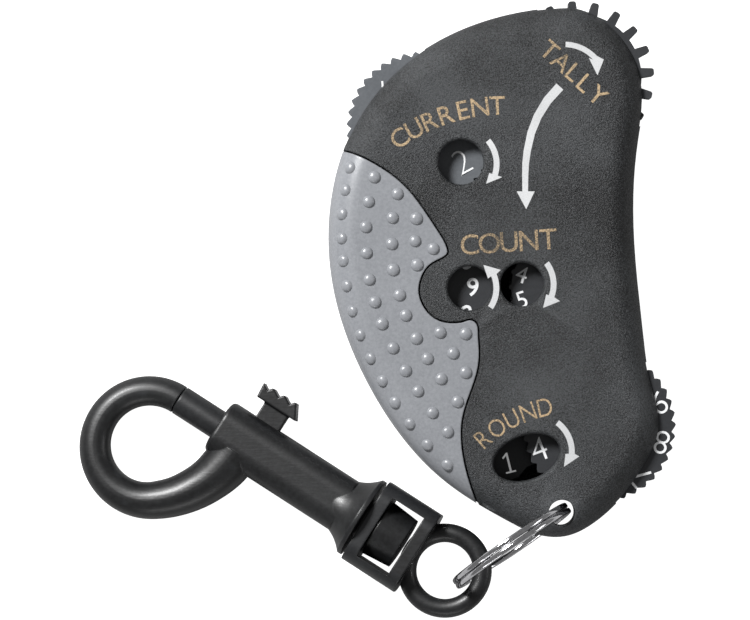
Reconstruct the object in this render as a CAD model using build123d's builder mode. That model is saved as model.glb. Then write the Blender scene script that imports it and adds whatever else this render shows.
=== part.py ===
from build123d import *
import math
import os

# Hand-held golf stroke and score counter with a swivel snap hook on a split ring.
# The counter lies on its flat back: +Z comes out of the face, +Y points to its top end.
# The origin is the middle of the casing's flat back face. All lengths are in millimetres.

os.makedirs("parts", exist_ok=True)

# ---------------------------------------------------------------- casing
casing_thickness = 14.0
parting_height = 8.0
wall = 2.2
floor_thickness = 1.8
roof_height = 11.6
front_edge_radius = 4.0
back_edge_radius = 2.2
seam_groove_depth = 0.15
seam_groove_half_height = 0.1
grip_skin = 1.2
grip_gap = 0.25
grip_bed_gap = 0.08
grip_back_lip = 3.4
outline_samples = 48

# The kidney-shaped outline, anticlockwise from the top end.
casing_outline = [
    (11.0, 37.7),
    (0.6, 36.1),
    (-10.3, 31.0),
    (-18.4, 22.5),
    (-22.6, 11.0),
    (-22.7, -1.0),
    (-17.6, -16.0),
    (-7.0, -29.8),
    (2.5, -35.9),
    (9.6, -38.3),
    (16.5, -35.0),
    (22.45, -27.5),
    (23.85, -24.6),
    (24.35, -21.5),
    (23.75, -18.3),
    (22.85, -15.0),
    (22.05, -9.5),
    (20.8, 3.0),
    (21.2, 18.0),
    (21.9, 26.0),
    (18.3, 34.0),
]

# ---------------------------------------------------------------- wheels
axle_radius = 1.0
running_clearance = 0.05
wheel_bore_radius = axle_radius + running_clearance
axle_seat_clearance = 0.02
axle_bottom = 1.1
axle_top = 12.2
axle_end_chamfer = 0.2
axle_hole_bottom = 1.0
axle_hole_top = 12.3
axle_roof_boss_radius = 2.0
wheel_end_play = 0.2
boss_overlap = 0.5
roof_edge_chamfer = 1.0
digit_tier_bottom = 8.5
digit_tier_top = 11.0
gear_tier_bottom = 5.6
gear_tier_top = 7.4
detent_tier_bottom = 3.4
pocket_clearance = 0.4
wheel_pocket_head_room = 0.25
gear_pocket_foot_room = 0.3
gear_pocket_side_room = 0.3
hub_radius = 2.6

gear_module = 0.67
tooth_tip_share = 0.85
wheel_gear_teeth = 20
idler_teeth = 26
mesh_clearance = 0.06

strokes_centre = Vector(-9.57, 20.36)
strokes_radius = 10.95
strokes_teeth = 40
strokes_knurl_depth = 0.7
detent_ring_radius = 6.5
total_centre = Vector(12.57, 27.55)
total_root_radius = 9.15
total_tip_radius = 10.95
total_tooth_root_width = 1.6
total_tooth_tip_width = 1.05
total_tooth_rounding = 0.35
total_teeth = 20
units_centre = Vector(10.14, -2.43)
units_radius = 7.43
units_bumps = 20
carry_finger_reach = 9.35
carry_finger_bottom = 7.5
carry_finger_top = 8.4
carry_finger_angle = 315
finger_root_angle = 40
finger_root_radius = 2.2
units_bump_radius = 0.4
tens_centre = Vector(-8.86, -2.43)
tens_radius = 9.14
star_points = 10
holes_centre = Vector(15.64, -22.29)
holes_radius = 11.0
holes_teeth = 40
holes_teeth_phase = 4.3
holes_knurl_depth = 0.6
holes_hub_radius = 3.0
holes_finger_reach = 6.0
holes_finger_angle = 262
holes_finger_height = 1.4
holes_tens_centre = Vector(1.0, -22.14)
holes_tens_radius = 8.3
holes_tens_bottom = 6.0
holes_tens_top = 7.6

# ---------------------------------------------------------------- detent leaf springs
leaf_thickness = 0.3
leaf_half_length = 4.0
leaf_stand_off = 0.9
leaf_depth_in_valley = 0.1
post_length = 1.5
post_width = 1.4
post_slot_clearance = 0.08
post_overlap = 0.3
leaf_end_play = 0.3
leaf_v_half_width = 0.7
leaf_v_tip_half_width = 0.12
detent_tooth_depth = 0.6
strokes_detent_angle = 270
total_detent_radius = 7.3
wheel_detent_top = 8.0
star_tip_radius = 8.9
star_root_radius = 6.6
star_angle = 286
score_tens_detent_top = 8.3
holes_detent_radius = 6.0
holes_detent_root_radius = 5.3
holes_detent_angle = 100
holes_detent_top = 5.6
holes_tens_root_radius = 7.6
holes_tens_detent_radius = 8.1
holes_tens_detent_angle = 90

# ---------------------------------------------------------------- windows and fastenings
strokes_window = (-4.16, 15.36, 3.2)
score_tens_window = (-2.91, -2.61, 3.14)
score_units_window = (4.54, -2.07, 3.1)
holes_window_centre = (5.21, -26.76)
holes_window_half_axes = (4.9, 3.15)
holes_window_tilt = 20
window_rim_radius = 0.5
screw_positions = [(-0.3, 32.0), (17.3, 6.2), (-9.5, -16.8), (0.9, -32.2)]
screw_boss_radius = 2.3
screw_shank_radius = 0.8
screw_pilot_radius = 0.82
screw_clearance_radius = 1.0
screw_head_radius = 1.6
screw_head_height = 1.2
screw_length = 10.4
screw_head_bottom = 0.6
screw_head_clearance = 0.3
screw_pilot_run_out = 0.9
screw_slot_length = 2.0
screw_slot_width = 0.45
screw_slot_depth = 0.6

# ---------------------------------------------------------------- lanyard hole and split ring
lanyard_hole = Vector(10.2, -34.65)
lanyard_hole_radius = 1.9
lanyard_web_bottom = 8.2
relief_radius = 2.9
relief_from_angle = 203
relief_to_angle = 292
relief_length = 14
relief_wall = 1.3
ring_outer_radius = 9.9
ring_inner_radius = 8.65
ring_wire_thickness = 0.85
ring_layer_gap = 0.1
ring_heading = 214.4
ring_lean = 4
ring_height = 10.6
ring_cut_angle = 20
ring_bridge_angle = 10
ring_cut_width = 0.4
ring_to_hole = 8.54

# ---------------------------------------------------------------- snap hook
# Hook lengths run along its own axis from the centre of the swivel eye.
eye_centre = Vector(-6.39, -43.2, 7.8)
hook_heading = 147.5
hook_droop = 6.1
eye_radius = 5.43
eye_wire_radius = 1.36
yoke_start = 4.5
yoke_end = 13.4
yoke_width = 13.0
yoke_thickness = 9.0
yoke_corner_radius = 3.0
yoke_bar = 1.8
window_width = 9.7
swivel_neck_radius = 2.9
swivel_head_radius = 4.3
swivel_head_tip_radius = 3.9
swivel_head_length = 4.3
flange_start = 13.9
flange_radius = 6.15
flare_end = 18.7
flange_thickness = 0.6
flare_middle_radius = 4.6
flare_end_radius = 3.6
barrel_end_rounding = 0.6
barrel_end = 38.8
barrel_width = 8.1
barrel_thickness = 7.4
barrel_corner_radius = 2.9
hook_root_radius = 3.78
hook_taper_power = 2.6
hook_nose_radius = 2.15
hook_loop_radius = 7.95
hook_loop_start_angle = -125
hook_tail_start = (34.8, -1.8)
hook_tail_start_pull = 5.2
hook_tail_end_pull = 4.6
hook_tail_sections = 6
hook_loop_sections = 16
gate_radius = 2.16
gate_bore_radius = 2.22
gate_bore_start = 19.6
gate_back = 30.0
gate_tip = 45.75
nose_gap = 0.15
knob_centre = 33.0
knob_stem_length = 4.0
knob_stem_width = 1.8
knob_stem_foot = 1.0
knob_stem_top = 6.5
knob_length = 7.1
knob_width = 3.4
knob_height = 1.65
knob_ridge_height = 0.6
knob_ridges = 4
gate_travel = 6.2
slot_clearance = 0.25
coil_wire_radius = 0.25
coil_radius = 1.75
coil_turns = 9


def polar(centre, radius, angle):
    """Point at a radius and an angle in degrees from a centre."""
    turn = math.radians(angle)
    return (centre.X + radius * math.cos(turn), centre.Y + radius * math.sin(turn))


def gear_profile(teeth, phase):
    """Flat-sided gear outline as a closed list of points, with one tooth centred on phase."""
    pitch_radius = gear_module * teeth / 2
    tip_radius = pitch_radius + tooth_tip_share * gear_module
    root_radius = pitch_radius - 1.15 * gear_module
    half_pitch = 180 / teeth
    points = []
    for tooth in range(teeth):
        middle = phase + tooth * 360 / teeth
        points.append(polar(Vector(0, 0), root_radius, middle - 0.72 * half_pitch))
        points.append(polar(Vector(0, 0), tip_radius, middle - 0.2 * half_pitch))
        points.append(polar(Vector(0, 0), tip_radius, middle + 0.2 * half_pitch))
        points.append(polar(Vector(0, 0), root_radius, middle + 0.72 * half_pitch))
    return points


def notch_profile(points_count, tip_radius, root_radius, phase):
    """Star outline whose points and valleys alternate, with one valley centred on phase."""
    half_step = 180 / points_count
    outline = []
    for step in range(points_count):
        valley = phase + step * 2 * half_step
        outline.append(polar(Vector(0, 0), root_radius, valley))
        outline.append(polar(Vector(0, 0), tip_radius, valley + 0.75 * half_step))
        outline.append(polar(Vector(0, 0), tip_radius, valley + 1.25 * half_step))
    return outline


def mesh_phase(teeth, phase, next_teeth, heading):
    """Tooth angle of a gear meshed at heading with a gear whose tooth stands at phase."""
    gap = heading + 180 - teeth / next_teeth * (phase - heading)
    return gap + 180 / next_teeth


# ---------------------------------------------------------------- gear train places
gear_centre_distance = gear_module * (wheel_gear_teeth + idler_teeth) / 2 + mesh_clearance
train_line = units_centre - total_centre
half_span = train_line.length / 2
idler_offset = math.sqrt(gear_centre_distance**2 - half_span**2)
train_middle = (total_centre + units_centre) * 0.5
idler_centre = train_middle + train_line.normalized().rotate(Axis.Z, -90) * idler_offset
total_phase = 4.3
idler_heading = math.degrees(math.atan2(idler_centre.Y - total_centre.Y, idler_centre.X - total_centre.X))
units_heading = math.degrees(math.atan2(units_centre.Y - idler_centre.Y, units_centre.X - idler_centre.X))
idler_phase = mesh_phase(wheel_gear_teeth, total_phase, idler_teeth, idler_heading)
units_phase = mesh_phase(idler_teeth, idler_phase, wheel_gear_teeth, units_heading)

axle_places = {
    "strokes": strokes_centre,
    "total": total_centre,
    "idler": idler_centre,
    "score_units": units_centre,
    "score_tens": tens_centre,
    "holes_units": holes_centre,
    "holes_tens": holes_tens_centre,
}
thumbwheel_pockets = [
    (strokes_centre, strokes_radius),
    (total_centre, total_tip_radius),
    (holes_centre, holes_radius),
]

gear_pockets = [
    (strokes_centre, detent_ring_radius + pocket_clearance),
    (total_centre, gear_module * (wheel_gear_teeth / 2 + tooth_tip_share) + pocket_clearance),
    (units_centre, carry_finger_reach + gear_pocket_side_room),
]

# ---------------------------------------------------------------- shared outlines
casing_loop = Spline(*casing_outline, periodic=True)


def inset_outline(inset):
    """Casing outline moved inwards by an inset, as a face with two smooth halves."""
    points = []
    for step in range(outline_samples):
        position = step / outline_samples
        tangent = casing_loop % position
        inward = Vector(-tangent.Y, tangent.X)
        points.append(casing_loop @ position + inward * inset)
    with BuildSketch() as face:
        with BuildLine():
            loop = Spline(*points, periodic=True, mode=Mode.PRIVATE)
            add(loop.trim(0, 0.5))
            add(loop.trim(0.5, 1))
        make_face()
    return face.sketch


with BuildSketch() as relief_face:
    upper_start = polar(lanyard_hole, relief_radius, relief_from_angle - 90)
    lower_start = polar(lanyard_hole, relief_radius, relief_to_angle + 90)
    upper_end = polar(Vector(*upper_start), relief_length, relief_from_angle)
    lower_end = polar(Vector(*lower_start), relief_length, relief_to_angle)
    with Locations(lanyard_hole):
        Circle(relief_radius)
    with BuildLine():
        Polyline(lanyard_hole, upper_start, upper_end, lower_end, lower_start, close=True)
    make_face()

with BuildSketch() as cavity_face:
    add(inset_outline(wall))
    with BuildSketch(mode=Mode.PRIVATE) as walled_relief:
        add(relief_face.sketch)
        offset(amount=relief_wall)
    add(walled_relief.sketch, mode=Mode.SUBTRACT)
    with Locations(lanyard_hole):
        Circle(lanyard_hole_radius + 2 * relief_wall, mode=Mode.SUBTRACT)

# The grip covers the left flank. Its inner edge has a finger above and one below the score windows.
grip_edge_points = [
    (-31.0, 17.6),
    (-24.0, 17.4),
    (-20.1, 16.7),
    (-16.4, 15.0),
    (-12.4, 12.06),
    (-9.14, 7.96),
    (-7.2, 5.0),
    (-6.25, 3.1),
    (-6.2, 2.4),
    (-6.8, 1.85),
    (-8.6, 0.85),
    (-9.96, -1.2),
    (-10.25, -3.2),
    (-9.47, -5.4),
    (-7.5, -7.2),
    (-5.2, -7.62),
    (-3.6, -7.38),
    (-2.7, -7.2),
    (-2.1, -7.6),
    (-1.8, -9.2),
    (-1.66, -11.7),
    (-1.93, -14.3),
    (-3.24, -18.3),
    (-4.06, -21.2),
    (-4.22, -23.9),
    (-3.9, -26.8),
    (-3.07, -30.1),
    (-1.76, -33.7),
    (0.2, -38.0),
]
grip_edge_samples = 90
grip_edge = Spline(*grip_edge_points)


def grip_outline(grow):
    """Face view of the grip, moved outwards by a small gap all along its inner edge."""
    points = []
    for step in range(grip_edge_samples + 1):
        position = step / grip_edge_samples
        tangent = grip_edge % position
        points.append(grip_edge @ position + Vector(-tangent.Y, tangent.X) * grow)
    with BuildSketch() as face:
        with BuildLine():
            edge = Spline(*points)
            Polyline(edge @ 1, (-31, -38), edge @ 0)
        make_face()
    return face.sketch


def solid_envelope(inset):
    """Casing's outer body with rounded edges, shrunk by an inset from every outer face."""
    with BuildPart() as body:
        with BuildSketch(Plane.XY.offset(inset)):
            add(inset_outline(inset))
        extrude(amount=casing_thickness - 2 * inset)
        fillet(body.faces().sort_by(Axis.Z)[-1].edges(), radius=front_edge_radius - inset)
        fillet(body.faces().sort_by(Axis.Z)[0].edges(), radius=back_edge_radius - inset / 2)
    return body.part


envelope = solid_envelope(0)
inner_envelope = solid_envelope(grip_skin)
recessed_envelope = solid_envelope(grip_skin + grip_bed_gap)

with BuildPart() as grip_region:
    with BuildSketch(Plane.XY.offset(-1)):
        add(grip_outline(0))
    extrude(amount=casing_thickness + 2)

with BuildPart() as bare_back:
    with BuildSketch(Plane.XY.offset(-1)):
        add(inset_outline(grip_back_lip))
    extrude(amount=1 + grip_skin + 2 * grip_gap)

with BuildPart() as grip_cutter:
    with BuildSketch(Plane.XY.offset(-1)):
        add(grip_outline(grip_gap))
    extrude(amount=casing_thickness + 2)
    add(recessed_envelope, mode=Mode.SUBTRACT)
    with BuildSketch(Plane.XY.offset(-1)):
        add(inset_outline(grip_back_lip + grip_gap))
    extrude(amount=1 + grip_skin + grip_gap, mode=Mode.SUBTRACT)

with BuildPart() as casing_cavity:
    with BuildSketch(Plane.XY.offset(floor_thickness)):
        add(cavity_face.sketch)
    extrude(amount=roof_height - floor_thickness)
    chamfer(casing_cavity.faces().sort_by(Axis.Z)[-1].edges(), length=roof_edge_chamfer)

with BuildPart() as seam_groove:
    with BuildSketch(Plane.XY.offset(parting_height - seam_groove_half_height)):
        Rectangle(200, 200)
        add(inset_outline(seam_groove_depth), mode=Mode.SUBTRACT)
    extrude(amount=2 * seam_groove_half_height)

with BuildPart() as ring_relief:
    with BuildSketch(Plane.XY.offset(-1)):
        add(relief_face.sketch)
    extrude(amount=1 + lanyard_web_bottom)


# ---------------------------------------------------------------- front shell
with BuildPart() as front_shell:
    add(envelope)
    split(bisect_by=Plane.XY.offset(parting_height), keep=Keep.TOP)
    add(seam_groove.part, mode=Mode.SUBTRACT)
    add(casing_cavity.part, mode=Mode.SUBTRACT)
    with BuildSketch(Plane.XY.offset(parting_height)):
        for centre, radius in thumbwheel_pockets:
            with Locations(centre):
                Circle(radius + pocket_clearance)
    extrude(amount=digit_tier_top + wheel_pocket_head_room - parting_height, mode=Mode.SUBTRACT)
    with BuildSketch(Plane.XY.offset(parting_height)):
        with Locations(*screw_positions):
            Circle(screw_boss_radius)
    extrude(amount=roof_height - parting_height + boss_overlap)
    with BuildSketch(Plane.XY.offset(parting_height)):
        with Locations(units_centre):
            Circle(carry_finger_reach + 0.25)
    extrude(amount=carry_finger_top + 0.2 - parting_height, mode=Mode.SUBTRACT)
    with BuildSketch(Plane.XY.offset(digit_tier_top + wheel_end_play)):
        with Locations(*axle_places.values()):
            Circle(axle_roof_boss_radius)
    extrude(amount=roof_height - digit_tier_top - wheel_end_play + boss_overlap)
    with BuildSketch(Plane.XY.offset(parting_height)):
        with Locations(*screw_positions):
            Circle(screw_pilot_radius)
    extrude(amount=screw_length - parting_height + screw_pilot_run_out, mode=Mode.SUBTRACT)
    with BuildSketch(Plane.XY.offset(parting_height)):
        with Locations(*axle_places.values()):
            Circle(axle_radius + axle_seat_clearance)
    extrude(amount=axle_hole_top - parting_height, mode=Mode.SUBTRACT)
    with BuildSketch(Plane.XY.offset(parting_height)):
        for x, y, radius in (strokes_window, score_tens_window, score_units_window):
            with Locations((x, y)):
                Circle(radius)
        with Locations(Location(holes_window_centre, holes_window_tilt)):
            Ellipse(*holes_window_half_axes)
        with Locations(lanyard_hole):
            Circle(lanyard_hole_radius)
    extrude(amount=casing_thickness, mode=Mode.SUBTRACT)
    window_rims = front_shell.faces().filter_by(Plane.XY).sort_by(Axis.Z)[-1].inner_wires()
    fillet(window_rims.edges(), radius=window_rim_radius)
    add(ring_relief.part, mode=Mode.SUBTRACT)
    add(grip_cutter.part, mode=Mode.SUBTRACT)
front_shell.part.label = "front_shell"
export_step(front_shell.part, "parts/front_shell.step")

# ---------------------------------------------------------------- back shell
total_detent_angle = total_phase + 9.5 * 360 / wheel_gear_teeth
detent_places = {
    "strokes": (strokes_centre, detent_ring_radius, strokes_detent_angle, gear_tier_bottom, wheel_detent_top),
    "total": (total_centre, total_detent_radius, total_detent_angle, gear_tier_bottom, wheel_detent_top),
    "score_tens": (tens_centre, star_tip_radius, star_angle, gear_tier_top, score_tens_detent_top),
    "holes_units": (holes_centre, holes_detent_radius, holes_detent_angle, detent_tier_bottom, holes_detent_top),
    "holes_tens": (holes_tens_centre, holes_tens_detent_radius, holes_tens_detent_angle, holes_tens_bottom, holes_tens_top),
}
axle_boss_top = {
    "strokes": gear_tier_bottom - wheel_end_play,
    "total": gear_tier_bottom - wheel_end_play,
    "idler": gear_tier_bottom - wheel_end_play,
    "score_units": gear_tier_bottom - wheel_end_play,
    "score_tens": gear_tier_top - wheel_end_play,
    "holes_units": detent_tier_bottom - wheel_end_play,
    "holes_tens": holes_tens_bottom - wheel_end_play,
}

with BuildPart() as back_shell:
    add(envelope)
    split(bisect_by=Plane.XY.offset(parting_height), keep=Keep.BOTTOM)
    add(seam_groove.part, mode=Mode.SUBTRACT)
    add(casing_cavity.part, mode=Mode.SUBTRACT)
    with BuildSketch(Plane.XY.offset(floor_thickness - boss_overlap)):
        with Locations(*screw_positions):
            Circle(screw_boss_radius)
    extrude(amount=parting_height - floor_thickness + boss_overlap)
    with BuildSketch(Plane.XY.offset(gear_tier_bottom - gear_pocket_foot_room)):
        for centre, radius in gear_pockets:
            with Locations(centre):
                Circle(radius)
    extrude(amount=parting_height - gear_tier_bottom + gear_pocket_foot_room, mode=Mode.SUBTRACT)
    with BuildSketch(Plane.XY.offset(holes_tens_bottom - gear_pocket_foot_room)):
        with Locations(holes_tens_centre):
            Circle(holes_tens_radius + gear_pocket_side_room)
    extrude(amount=parting_height - holes_tens_bottom + gear_pocket_foot_room, mode=Mode.SUBTRACT)
    for name, centre in axle_places.items():
        with BuildSketch(Plane.XY.offset(floor_thickness - boss_overlap)):
            with Locations(centre):
                Circle(hub_radius)
        extrude(amount=axle_boss_top[name] - floor_thickness + boss_overlap)
    for centre, edge_radius, angle, low, high in detent_places.values():
        leaf_middle = edge_radius - leaf_depth_in_valley + leaf_stand_off + leaf_thickness / 2
        post_plane = Plane(
            origin=(centre.X, centre.Y, floor_thickness - post_overlap),
            x_dir=Vector(1, 0, 0).rotate(Axis.Z, angle),
            z_dir=(0, 0, 1),
        )
        with BuildSketch(post_plane):
            with Locations((leaf_middle, leaf_half_length), (leaf_middle, -leaf_half_length)):
                Rectangle(post_width, post_length)
                Rectangle(leaf_thickness + post_slot_clearance, 2 * post_length, mode=Mode.SUBTRACT)
        extrude(amount=high - leaf_end_play - floor_thickness + post_overlap)
    with BuildSketch(Plane.XY.offset(axle_hole_bottom)):
        with Locations(*axle_places.values()):
            Circle(axle_radius + axle_seat_clearance)
    extrude(amount=parting_height - axle_hole_bottom, mode=Mode.SUBTRACT)
    with BuildSketch(Plane.XY.offset(-1)):
        with Locations(*screw_positions):
            Circle(screw_clearance_radius)
    extrude(amount=parting_height + 1, mode=Mode.SUBTRACT)
    with BuildSketch(Plane.XY.offset(-1)):
        with Locations(*screw_positions):
            Circle(screw_head_radius + screw_head_clearance)
    extrude(amount=1 + screw_head_height + screw_head_bottom, mode=Mode.SUBTRACT)
    add(ring_relief.part, mode=Mode.SUBTRACT)
    add(grip_cutter.part, mode=Mode.SUBTRACT)
back_shell.part.label = "back_shell"
export_step(back_shell.part, "parts/back_shell.step")

# ---------------------------------------------------------------- soft side grip
with BuildPart() as side_grip:
    add(envelope)
    add(grip_region.part, mode=Mode.INTERSECT)
    add(inner_envelope, mode=Mode.SUBTRACT)
    add(bare_back.part, mode=Mode.SUBTRACT)
side_grip.part.label = "side_grip"
export_step(side_grip.part, "parts/side_grip.step")

# ---------------------------------------------------------------- casing screws
with BuildPart() as casing_screws:
    with BuildSketch(Plane.XY.offset(screw_head_bottom)):
        with Locations(*screw_positions):
            Circle(screw_head_radius)
    extrude(amount=screw_head_height)
    with BuildSketch(Plane.XY.offset(screw_head_bottom + screw_head_height)):
        with Locations(*screw_positions):
            Circle(screw_shank_radius)
    extrude(amount=screw_length - screw_head_bottom - screw_head_height)
    with BuildSketch(Plane.XY.offset(screw_head_bottom)):
        with Locations(*screw_positions):
            Rectangle(screw_slot_length, screw_slot_width)
            Rectangle(screw_slot_width, screw_slot_length)
    extrude(amount=screw_slot_depth, mode=Mode.SUBTRACT)
casing_screws.part.label = "casing_screws"
export_step(casing_screws.part, "parts/casing_screws.step")

# ---------------------------------------------------------------- axle pins
for name, centre in axle_places.items():
    with BuildPart() as axle:
        with BuildSketch(Plane.XY.offset(axle_bottom)):
            with Locations(centre):
                Circle(axle_radius)
        extrude(amount=axle_top - axle_bottom)
        chamfer(axle.edges(), length=axle_end_chamfer)
    axle.part.label = f"{name}_axle"
    export_step(axle.part, f"parts/{name}_axle.step")


def knurl_profile(radius, teeth, depth, phase=0):
    """Saw-edged thumb rim: each tooth rises gently and drops steeply."""
    points = []
    for tooth in range(teeth):
        start = phase + tooth * 360 / teeth
        points.append(polar(Vector(0, 0), radius - depth, start))
        points.append(polar(Vector(0, 0), radius - 0.25 * depth, start + 0.45 * 360 / teeth))
        points.append(polar(Vector(0, 0), radius, start + 0.65 * 360 / teeth))
        points.append(polar(Vector(0, 0), radius - 0.35 * depth, start + 0.82 * 360 / teeth))
    return points


# ---------------------------------------------------------------- strokes thumbwheel
strokes_valley_radius = detent_ring_radius - detent_tooth_depth
strokes_detent_profile = notch_profile(star_points, detent_ring_radius, strokes_valley_radius, strokes_detent_angle)
with BuildPart() as strokes_wheel:
    with BuildSketch(Plane.XY.offset(digit_tier_bottom)):
        with Locations(strokes_centre):
            Polygon(*knurl_profile(strokes_radius, strokes_teeth, strokes_knurl_depth), align=None)
    extrude(amount=digit_tier_top - digit_tier_bottom)
    with BuildSketch(Plane.XY.offset(gear_tier_bottom)):
        with Locations(strokes_centre):
            Polygon(*strokes_detent_profile, align=None)
    extrude(amount=digit_tier_bottom - gear_tier_bottom)
    with BuildSketch(Plane.XY.offset(gear_tier_bottom)):
        with Locations(strokes_centre):
            Circle(wheel_bore_radius)
    extrude(amount=casing_thickness, mode=Mode.SUBTRACT)
strokes_wheel.part.label = "strokes_wheel"
export_step(strokes_wheel.part, "parts/strokes_wheel.step")

# ---------------------------------------------------------------- total thumbwheel
with BuildPart() as total_wheel:
    with BuildSketch(Plane.XY.offset(digit_tier_bottom)):
        with Locations(total_centre):
            Circle(total_root_radius)
            with PolarLocations(0, total_teeth, start_angle=total_phase):
                with BuildSketch(mode=Mode.PRIVATE) as tooth:
                    Polygon(
                        (total_root_radius - 1, -total_tooth_root_width / 2),
                        (total_tip_radius, -total_tooth_tip_width / 2),
                        (total_tip_radius, total_tooth_tip_width / 2),
                        (total_root_radius - 1, total_tooth_root_width / 2),
                        align=None,
                    )
                    fillet(tooth.vertices().sort_by(Axis.X)[-2:], radius=total_tooth_rounding)
                add(tooth.sketch)
    extrude(amount=digit_tier_top - digit_tier_bottom)
    with BuildSketch(Plane.XY.offset(gear_tier_bottom)):
        with Locations(total_centre):
            Polygon(*gear_profile(wheel_gear_teeth, total_phase), align=None)
    extrude(amount=digit_tier_bottom - gear_tier_bottom)
    with BuildSketch(Plane.XY.offset(gear_tier_bottom)):
        with Locations(total_centre):
            Circle(wheel_bore_radius)
    extrude(amount=casing_thickness, mode=Mode.SUBTRACT)
total_wheel.part.label = "total_wheel"
export_step(total_wheel.part, "parts/total_wheel.step")

# ---------------------------------------------------------------- idler gear
with BuildPart() as idler_gear:
    with BuildSketch(Plane.XY.offset(gear_tier_bottom)):
        with Locations(idler_centre):
            Polygon(*gear_profile(idler_teeth, idler_phase), align=None)
            Circle(wheel_bore_radius, mode=Mode.SUBTRACT)
    extrude(amount=gear_tier_top - gear_tier_bottom)
    with BuildSketch(Plane.XY.offset(gear_tier_top)):
        with Locations(idler_centre):
            Circle(hub_radius)
            Circle(wheel_bore_radius, mode=Mode.SUBTRACT)
    extrude(amount=digit_tier_top - gear_tier_top)
idler_gear.part.label = "idler_gear"
export_step(idler_gear.part, "parts/idler_gear.step")

# ---------------------------------------------------------------- score units wheel
with BuildPart() as score_units_wheel:
    with BuildSketch(Plane.XY.offset(digit_tier_bottom)):
        with Locations(units_centre):
            Circle(units_radius - 0.35)
            with PolarLocations(units_radius - units_bump_radius, units_bumps):
                Circle(units_bump_radius)
    extrude(amount=digit_tier_top - digit_tier_bottom)
    with BuildSketch(Plane.XY.offset(gear_tier_bottom)):
        with Locations(units_centre):
            Polygon(*gear_profile(wheel_gear_teeth, units_phase), align=None)
    extrude(amount=gear_tier_top - gear_tier_bottom)
    with BuildSketch(Plane.XY.offset(gear_tier_top)):
        with Locations(units_centre):
            Circle(hub_radius)
    extrude(amount=digit_tier_bottom - gear_tier_top)
    with BuildSketch(Plane.XY.offset(carry_finger_bottom)):
        with BuildLine():
            Polyline(
                polar(units_centre, finger_root_radius, carry_finger_angle - finger_root_angle),
                polar(units_centre, carry_finger_reach, carry_finger_angle - 4),
                polar(units_centre, carry_finger_reach, carry_finger_angle + 4),
                polar(units_centre, finger_root_radius, carry_finger_angle + finger_root_angle),
                close=True,
            )
        make_face()
    extrude(amount=carry_finger_top - carry_finger_bottom)
    with BuildSketch(Plane.XY.offset(gear_tier_bottom)):
        with Locations(units_centre):
            Circle(wheel_bore_radius)
    extrude(amount=casing_thickness, mode=Mode.SUBTRACT)
score_units_wheel.part.label = "score_units_wheel"
export_step(score_units_wheel.part, "parts/score_units_wheel.step")

# ---------------------------------------------------------------- score tens wheel
with BuildPart() as score_tens_wheel:
    with BuildSketch(Plane.XY.offset(digit_tier_bottom)):
        with Locations(tens_centre):
            Circle(tens_radius)
    extrude(amount=digit_tier_top - digit_tier_bottom)
    with BuildSketch(Plane.XY.offset(gear_tier_top)):
        with Locations(tens_centre):
            Polygon(*notch_profile(star_points, star_tip_radius, star_root_radius, star_angle), align=None)
    extrude(amount=digit_tier_bottom - gear_tier_top)
    with BuildSketch(Plane.XY.offset(gear_tier_top)):
        with Locations(tens_centre):
            Circle(wheel_bore_radius)
    extrude(amount=casing_thickness, mode=Mode.SUBTRACT)
score_tens_wheel.part.label = "score_tens_wheel"
export_step(score_tens_wheel.part, "parts/score_tens_wheel.step")

# ---------------------------------------------------------------- holes units thumbwheel
holes_detent_profile = notch_profile(star_points, holes_detent_radius, holes_detent_root_radius, holes_detent_angle)
with BuildPart() as holes_units_wheel:
    with BuildSketch(Plane.XY.offset(digit_tier_bottom)):
        with Locations(holes_centre):
            Polygon(*knurl_profile(holes_radius, holes_teeth, holes_knurl_depth, holes_teeth_phase), align=None)
    extrude(amount=digit_tier_top - digit_tier_bottom)
    with BuildSketch(Plane.XY.offset(detent_tier_bottom)):
        with Locations(holes_centre):
            Circle(holes_hub_radius)
    extrude(amount=digit_tier_bottom - detent_tier_bottom)
    with BuildSketch(Plane.XY.offset(detent_tier_bottom)):
        with Locations(holes_centre):
            Polygon(*holes_detent_profile, align=None)
    extrude(amount=holes_detent_top - detent_tier_bottom)
    with BuildSketch(Plane.XY.offset(holes_tens_bottom)):
        with BuildLine():
            Polyline(
                polar(holes_centre, finger_root_radius, holes_finger_angle - finger_root_angle),
                polar(holes_centre, holes_finger_reach, holes_finger_angle - 6),
                polar(holes_centre, holes_finger_reach, holes_finger_angle + 6),
                polar(holes_centre, finger_root_radius, holes_finger_angle + finger_root_angle),
                close=True,
            )
        make_face()
    extrude(amount=holes_finger_height)
    with BuildSketch(Plane.XY.offset(detent_tier_bottom)):
        with Locations(holes_centre):
            Circle(wheel_bore_radius)
    extrude(amount=casing_thickness, mode=Mode.SUBTRACT)
holes_units_wheel.part.label = "holes_units_wheel"
export_step(holes_units_wheel.part, "parts/holes_units_wheel.step")

# ---------------------------------------------------------------- holes tens wheel
holes_tens_profile = notch_profile(star_points, holes_tens_radius, holes_tens_root_radius, holes_tens_detent_angle)
with BuildPart() as holes_tens_wheel:
    with BuildSketch(Plane.XY.offset(holes_tens_bottom)):
        with Locations(holes_tens_centre):
            Polygon(*holes_tens_profile, align=None)
            Circle(wheel_bore_radius, mode=Mode.SUBTRACT)
    extrude(amount=holes_tens_top - holes_tens_bottom)
holes_tens_wheel.part.label = "holes_tens_wheel"
export_step(holes_tens_wheel.part, "parts/holes_tens_wheel.step")

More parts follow.
